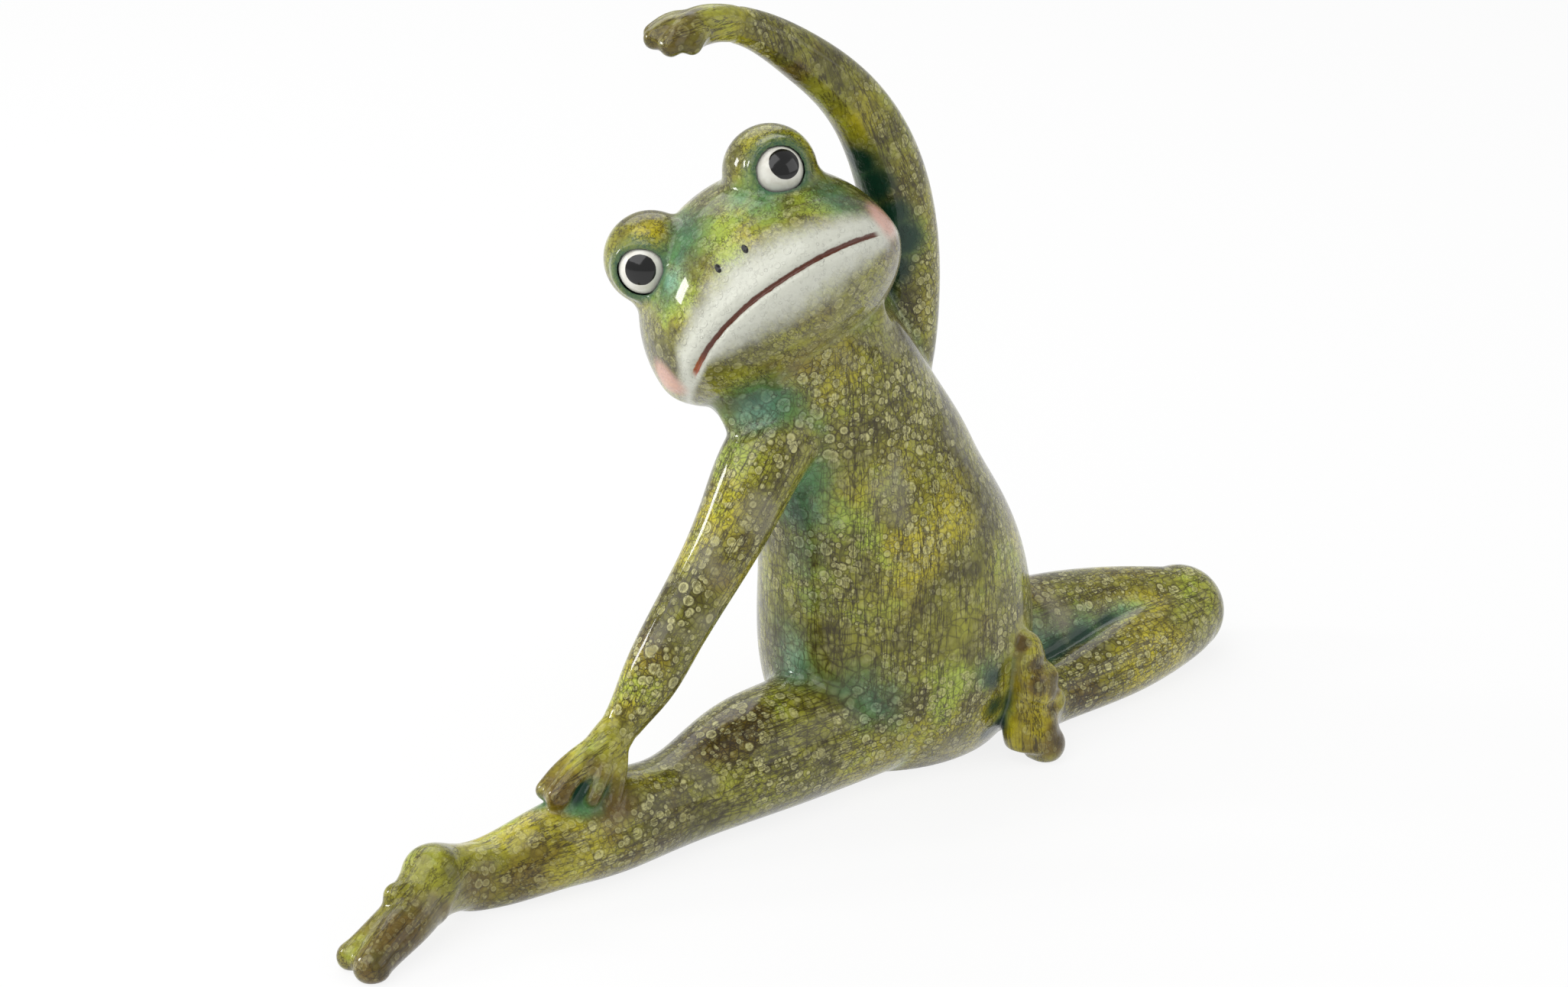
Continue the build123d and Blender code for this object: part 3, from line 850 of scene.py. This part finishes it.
class Glaze(Recipe):
    """The figure's mottled glaze, coat over coat."""

    def __init__(self, name):
        super().__init__(name)
        self.place = self.node("ShaderNodeTexCoord").outputs["Object"]
        self.loose = self.warped(self.place, 70.0, 0.007)
        self.brush = self.attribute("brush", "Vector")
        self.blotch = self.noise(self.loose, 45.0, 5.0, 0.6)
        self.patch = self.noise(self.loose, 21.0)
        self.speck = self.noise(self.place, 190.0, 3.0, 0.6)
        self.stain = self.noise(self.warped(self.place, 33.0, 0.02), 27.0, 4.0, 0.6)
        self.hair = self.noise(self.brush, 0.55, 4.0, 0.65)

    def raised(self, name, weight, noise):
        """A noise raised where the named guide is strong."""
        return self.times_plus(self.attribute(name), weight, noise)

    def base_coat(self):
        """Olive with gold, leaf green and brown; and how brown it is."""
        colour = self.mix(self.ramp(self.blotch, 0.36, 0.62), OLIVE, MOSS)
        golden = self.ramp(self.raised("gold", 0.24, self.patch), 0.5, 0.74)
        colour = self.layer(colour, GOLD, golden, 0.8)
        green = self.ramp(self.raised("leaf", 0.26, self.blotch), 0.56, 0.78)
        colour = self.layer(colour, LEAF, green, 0.85)
        rust = self.raised("bare", 0.07, self.raised("brown", 0.2, self.stain))
        browned = self.ramp(rust, 0.57, 0.77)
        colour = self.layer(colour, BURNT, browned, 0.75)
        colour = self.layer(colour, UMBER, self.ramp(rust, 0.7, 0.95), 0.6)
        patchy = self.ramp(self.noise(self.place, 110.0), 0.36, 0.56)
        return self.layer(colour, BURNT, self.attribute("warm"), patchy, 0.55), browned

    def washed(self, colour):
        """Sea green that ran into the hollows, with light aqua that is partly glaze and partly painted
        reflection; and how much of it there is.
        """
        gather = self.raised("teal", 0.24, self.attribute("wide_hollow"))
        gather = self.times_plus(self.blotch, 0.45, gather)
        gather = self.times_plus(self.speck, 0.16, gather)
        wash = self.ramp(gather, 0.8, 1.15)
        sea = self.mix(self.ramp(self.stain, 0.38, 0.6), TEAL, EMERALD)
        # light aqua: partly glaze, partly painted reflection
        aqua_with_reflection = self.ramp(self.raised("aqua_and_reflection", 0.3, self.patch), 0.55, 0.75)
        sea = self.layer(sea, AQUA, aqua_with_reflection, 0.9)
        return self.layer(colour, sea, wash, 0.9), wash

    def foamed(self, colour, wash, browned, busy):
        """Packed cells and burst bubbles; and how high they stand."""
        pale = self.layer(CREAM, AQUA, wash, 0.75)
        thin = self.times_plus(wash, -0.4, 1.0)
        zone = self.noise(self.place, 31.0, 2.0)
        close = self.warped(self.place, 240.0, 0.0012)
        height = self.product(self.speck, 0.3)
        for scale, low, high in PACKED_CELLS:
            packed = self.product(self.ramp(zone, low, high), thin, busy)
            net, middle, shade = self.cells(close, scale)
            colour = self.layer(colour, pale, middle, self.times_plus(shade, 0.7, 0.3), packed, 0.3)
            colour = self.layer(colour, UMBER, net, packed, self.times_plus(browned, 0.3, 0.55))
            height = self.math("ADD", height, self.product(middle, packed, 0.4))
        foam = self.product(self.ramp(self.noise(self.place, 24.0, 2.0), 0.34, 0.52), thin, busy)
        drifted = self.warped(self.place, 160.0, 0.0012)
        for scale, smallest, largest, strength in BUBBLES:
            disc, rim, line = self.bubbles(drifted, scale, smallest, largest)
            colour = self.layer(colour, UMBER, line, foam, 0.5)
            pearl = self.product(self.times_plus(rim, 0.6, self.product(disc, 0.4)), foam)
            colour = self.layer(colour, pale, pearl, strength)
            height = self.math("ADD", height, pearl)
        return colour, height

    def brushed(self, colour, wash):
        """Dark hairs of the brush, a grey-mauve painted sheen for a soft lamp's reflection, and deep teal
        in the creases, partly glaze and partly painted shade.
        """
        thin = self.times_plus(wash, -0.4, 1.0)
        streak = self.ramp(self.noise(self.brush, 0.22, 3.0, 0.6), 0.34, 0.56)
        thread = self.ramp(self.math("ABSOLUTE", self.math("SUBTRACT", self.hair, 0.5)), 0.05, 0.012)
        calm = self.math("SUBTRACT", 1.0, self.attribute("seam"))
        colour = self.layer(colour, UMBER, streak, thread, calm, thin, 0.8)
        # painted sheen: grey-mauve patches for a soft lamp's reflection
        painted_sheen = self.ramp(self.raised("mauve_sheen", 0.24, self.noise(self.loose, 30.0)), 0.6, 0.76)
        colour = self.layer(colour, SHEEN_MAUVE, painted_sheen, thin, 0.44)
        # deep teal in the creases and joints: partly glaze pooling, partly painted shade
        crease_teal_and_shade = self.raised("crease_shade_and_teal", 0.45, self.attribute("near_hollow"))
        crease_teal_and_shade = self.ramp(self.times_plus(self.blotch, 0.16, crease_teal_and_shade), 0.68, 0.9)
        return self.layer(colour, DEEP_TEAL_AND_SHADE, crease_teal_and_shade)


def glaze(name, with_face):
    coat = Glaze(name)
    colour, browned = coat.base_coat()
    colour, wash = coat.washed(colour)
    busy = 0.45 if with_face else coat.raised("bare", -0.85, 1.0)
    colour, height = coat.foamed(colour, wash, browned, busy)
    colour = coat.brushed(colour, wash)
    if with_face:
        colour = paint_face(coat, colour)
    uneven = coat.bump(coat.noise(coat.loose, 120.0, 2.0), 0.0012)
    coat.set(
        Base_Color=colour,
        Roughness=coat.times_plus(coat.speck, 0.2, 0.16),
        Normal=coat.bump(coat.times_plus(coat.hair, 0.9, height), 0.00034, uneven),
        Coat_Weight=0.6,
        Coat_Roughness=0.06,
        Specular_IOR_Level=0.15,
    )
    return coat.material


def paint_face(coat, colour):
    """Lids, lips, cheeks, mouth line and nostrils, sprayed and brushed on over the glaze, and painted shade
    in the gap round each eyeball.
    """
    face = coat.attribute("face", "Vector")
    x, y, z = coat.node("ShaderNodeSeparateXYZ", {0: face}).outputs
    wobble = coat.noise(face, 0.14)
    gap = coat.attribute("eye_gap")
    colour = coat.layer(colour, TEAL, coat.ramp(coat.times_plus(wobble, 2.0, gap), 5.0, 1.8), 0.75)
    # a dark line in the gap round the eyeball: partly glaze pooling, partly painted shade
    colour = coat.layer(colour, DEEP_TEAL_AND_SHADE, coat.ramp(gap, 0.6, 0.25))

    edge = coat.times_plus(wobble, 0.5, coat.attribute("lip"))
    edge = coat.times_plus(coat.noise(coat.brush, 1.2), 0.3, edge)
    colour = coat.layer(colour, LIP_WHITE, coat.ramp(edge, 1.95, 0.95))
    for cheek in CHEEKS:
        far = coat.node("ShaderNodeVectorMath", {0: face, 1: cheek}, operation="DISTANCE")
        blush = coat.ramp(coat.times_plus(wobble, 2.0, far.outputs["Value"]), *CHEEK_FADE)
        colour = coat.layer(colour, CHEEK_PINK, blush, 0.8)

    first, last = MOUTH_ENDS
    width = coat.times_plus(coat.noise(face, 0.3, 2.0), 0.8, 0.5)
    beyond = coat.math("SUBTRACT", coat.math("ABSOLUTE", coat.attribute("over")), width)
    line = coat.product(coat.ramp(beyond, 0.15, -0.25), coat.ramp(y, *FRONT_FADE))
    within = coat.product(coat.ramp(x, first - 0.5, first + 2.0), coat.ramp(x, last + 0.5, last - 2.0))
    stripe = coat.mix(coat.ramp(x, -24.0, -31.0), MOUTH_BROWN, MOUTH_RED)
    colour = coat.layer(colour, stripe, line, within)

    across = coat.math("SUBTRACT", coat.math("ABSOLUTE", x), NOSTRIL_X)
    upward = coat.math("DIVIDE", coat.math("SUBTRACT", z, NOSTRIL_Z), NOSTRIL_HEIGHT)
    spot = coat.math("ADD", coat.math("POWER", across, 2.0), coat.math("POWER", upward, 2.0))
    return coat.layer(colour, BLACK, coat.ramp(spot, 1.15, 0.8), coat.ramp(y, -5.0, -10.0))


def eye_glaze():
    coat = Recipe("eye_glaze")
    place = coat.node("ShaderNodeTexCoord").outputs["Object"]
    wobble = coat.noise(place, 260.0, 2.0)
    white = coat.mix(coat.ramp(coat.noise(place, 400.0), 0.4, 0.7), EYE_WHITE, EYE_SHADE)
    edge = coat.times_plus(wobble, 4.0, coat.attribute("angle"))
    coat.set(
        Base_Color=coat.layer(white, BLACK, coat.ramp(edge, PUPIL_ANGLE + 2.7, PUPIL_ANGLE + 1.3)),
        Roughness=coat.times_plus(wobble, 0.08, 0.1),
        Normal=coat.bump(coat.noise(place, 220.0, 2.0), 0.00015),
        Coat_Weight=0.5,
        Coat_Roughness=0.04,
        Specular_IOR_Level=0.3,
    )
    return coat.material


def build_piece(node, points, faces, normals, attributes, material):
    name = f"{node}_casting"
    mesh = bpy.data.meshes.new(name)
    mesh.from_pydata((points * MM).tolist(), [], [tuple(int(i) for i in face) for face in faces])
    mesh.polygons.foreach_set("use_smooth", np.ones(len(mesh.polygons), bool))
    for key, values in attributes.items():
        vector = values.ndim == 2
        layer = mesh.attributes.new(key, "FLOAT_VECTOR" if vector else "FLOAT", "POINT")
        layer.data.foreach_set("vector" if vector else "value", values.astype(np.float32).ravel())
    mesh.normals_split_custom_set_from_vertices(normals.tolist())
    mesh.materials.append(material)
    piece = bpy.data.objects.new(name, mesh)
    bpy.context.scene.collection.objects.link(piece)
    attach(piece, "root")
    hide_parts(node)


def open_loops(faces):
    """Rings of points round the open edges of a patch, in the faces' own direction."""
    edges = np.concatenate([np.stack([faces[:, i], faces[:, (i + 1) % 4]], 1) for i in range(4)])
    present = set(map(tuple, edges.tolist()))
    after = {}
    for start, end in present:
        if (end, start) not in present:
            after.setdefault(start, []).append(end)
    loops = []
    while after:
        first = next(iter(after))
        ring, current = [], first
        while current in after:
            ring.append(current)
            following = after[current].pop()
            if not after[current]:
                del after[current]
            current = following
        loops.append(ring)
    return loops


def cap(faces, points, normals):
    """A patch with its open ends closed by inner walls; returns the added points too."""
    faces = [tuple(face) for face in faces]
    extra_points, extra_sources = [], []
    for ring in open_loops(np.array(faces)):
        base = len(points) + len(extra_points)
        inner = points[ring] - WALL_DEPTH * normals[ring]
        extra_points.extend(inner)
        extra_points.append(inner.mean(0))
        extra_sources.extend(ring)
        extra_sources.append(ring[0])
        count = len(ring)
        for i in range(count):
            j = (i + 1) % count
            faces.append((ring[j], ring[i], base + i, base + j))
            faces.append((base + j, base + i, base + count))
    if not extra_points:
        return faces, points, np.arange(len(points))
    sources = np.concatenate([np.arange(len(points)), extra_sources])
    return faces, np.concatenate([points, extra_points]), sources


skin_glaze = glaze("skin_glaze", False)
head_glaze = glaze("head_glaze", True)
for index, node in enumerate(SKIN_NODES):
    used, patch = np.unique(quads[owner == index], return_inverse=True)
    patch, patch_points, sources = cap(patch.reshape(-1, 4), points[used], normals[used])
    origin = used[sources]
    own_guides = {**guides, **face_guides} if node == "head" else guides
    attributes = {name: values[origin] for name, values in own_guides.items()}
    attributes["brush"] = (points[origin] @ brush_way(node).T) * BRUSH_STRETCH
    material = head_glaze if node == "head" else skin_glaze
    build_piece(node, patch_points, patch, normals[origin], attributes, material)


def dome(node):
    """An eyeball with its pupil a little proud, rings running round the gaze."""
    gaze = head_axes @ np.array(GAZES[node])
    gaze /= np.linalg.norm(gaze)
    across = np.cross(gaze, (0, 0, 1))
    across /= np.linalg.norm(across)
    upward = np.cross(gaze, across)
    around = np.linspace(0, 2 * math.pi, EYEBALL_SPOKES, endpoint=False)[:, None]
    spokes = np.cos(around) * across + np.sin(around) * upward
    directions = [gaze]
    for angle in np.linspace(0, math.pi, EYEBALL_RINGS + 1)[1:-1]:
        directions.extend(math.cos(angle) * gaze + math.sin(angle) * spokes)
    directions.append(-gaze)
    directions = np.array(directions)
    spread = np.degrees(np.arccos(np.clip(directions @ gaze, -1, 1)))
    slope = smoothstep(spread, *(PUPIL_ANGLE + past for past in PUPIL_SLOPE))
    radius = EYEBALL_RADIUS - PUPIL_RISE * slope
    faces = []
    last = len(directions) - 1
    for spoke in range(EYEBALL_SPOKES):
        after = (spoke + 1) % EYEBALL_SPOKES
        faces.append((0, 1 + spoke, 1 + after))
        faces.append((last, last - EYEBALL_SPOKES + after, last - EYEBALL_SPOKES + spoke))
        for ring in range(EYEBALL_RINGS - 2):
            base = 1 + ring * EYEBALL_SPOKES
            beyond = base + EYEBALL_SPOKES
            faces.append((base + spoke, beyond + spoke, beyond + after, base + after))
    return middle_of(node) + radius[:, None] * directions, faces, directions, spread


eye_material = eye_glaze()
for node in EYES:
    ball, faces, directions, spread = dome(node)
    build_piece(node, ball, faces, directions, {"angle": spread}, eye_material)

# Camera
azimuth, elevation = math.radians(CAMERA_AZIMUTH), math.radians(CAMERA_ELEVATION)
back = Vector(
    (math.sin(azimuth) * math.cos(elevation), -math.cos(azimuth) * math.cos(elevation), math.sin(elevation))
)
camera = bpy.data.objects.new("camera", bpy.data.cameras.new("camera"))
camera.location = (head_origin + np.array(CAMERA_FROM_HEAD)) * MM
camera.rotation_euler = back.to_track_quat("Z", "Y").to_euler()
camera.data.lens = CAMERA_LENS
camera.data.sensor_width = SENSOR_WIDTH
bpy.context.scene.collection.objects.link(camera)
bpy.context.scene.camera = camera

# White paper floor, which keeps the figure's shadow
floor_mesh = bpy.data.meshes.new("floor")
floor_mesh.from_pydata([(-6, -6, 0), (6, -6, 0), (6, 6, 0), (-6, 6, 0)], [], [(0, 1, 2, 3)])
floor = bpy.data.objects.new("floor", floor_mesh)
paper = Recipe("floor_paper")
paper.set(Base_Color=(0.85, 0.85, 0.85), Roughness=0.9)
rays = paper.node("ShaderNodeLightPath").outputs
seen = paper.math("MAXIMUM", rays["Is Camera Ray"], rays["Is Glossy Ray"])
white = paper.node("ShaderNodeEmission", {"Color": (1.0, 1.0, 1.0), "Strength": 1.0})
shown = paper.node(
    "ShaderNodeMixShader",
    {0: paper.product(seen, 0.85), 1: paper.shader.outputs[0], 2: white.outputs[0]},
)
paper.put(paper.tree.nodes["Material Output"].inputs["Surface"], shown.outputs[0])
floor_mesh.materials.append(paper.material)
bpy.context.scene.collection.objects.link(floor)


def lamp(name, place, aim, size, power):
    light = bpy.data.objects.new(name, bpy.data.lights.new(name, "AREA"))
    light.data.shape = "RECTANGLE"
    light.data.size, light.data.size_y = size
    light.data.energy = power
    light.location = place
    light.rotation_euler = (Vector(place) - Vector(aim)).to_track_quat("Z", "Y").to_euler()
    bpy.context.scene.collection.objects.link(light)


# Lamps, in metres and watts, and a white room
lamp("side", (-0.95, 0.82, 0.54), (0, 0, 0.14), (0.22, 0.3), 5)
lamp("key", (-0.95, -0.05, 1.55), (0, 0, 0.14), (1.8, 1.8), 19)
lamp("top", (0.45, 1.1, 1.25), (0, 0, 0.12), (1.4, 1.0), 7)
lamp("fill", (1.1, -1.3, 0.9), (0, 0, 0.12), (1.6, 1.2), 6)
world = bpy.data.worlds.new("studio")
world.use_nodes = True
room = world.node_tree
sky = room.nodes["Background"]
sky.inputs["Color"].default_value = (1, 1, 1, 1)
sky.inputs["Strength"].default_value = 0.52
backdrop = room.nodes.new("ShaderNodeBackground")
backdrop.inputs["Color"].default_value = (1, 1, 1, 1)
direct = room.nodes.new("ShaderNodeLightPath").outputs["Is Camera Ray"]
either = room.nodes.new("ShaderNodeMixShader")
for socket, source in zip(either.inputs, (direct, sky.outputs[0], backdrop.outputs[0])):
    room.links.new(source, socket)
room.links.new(either.outputs[0], room.nodes["World Output"].inputs["Surface"])
bpy.context.scene.world = world
bpy.context.scene.view_settings.view_transform = "Standard"
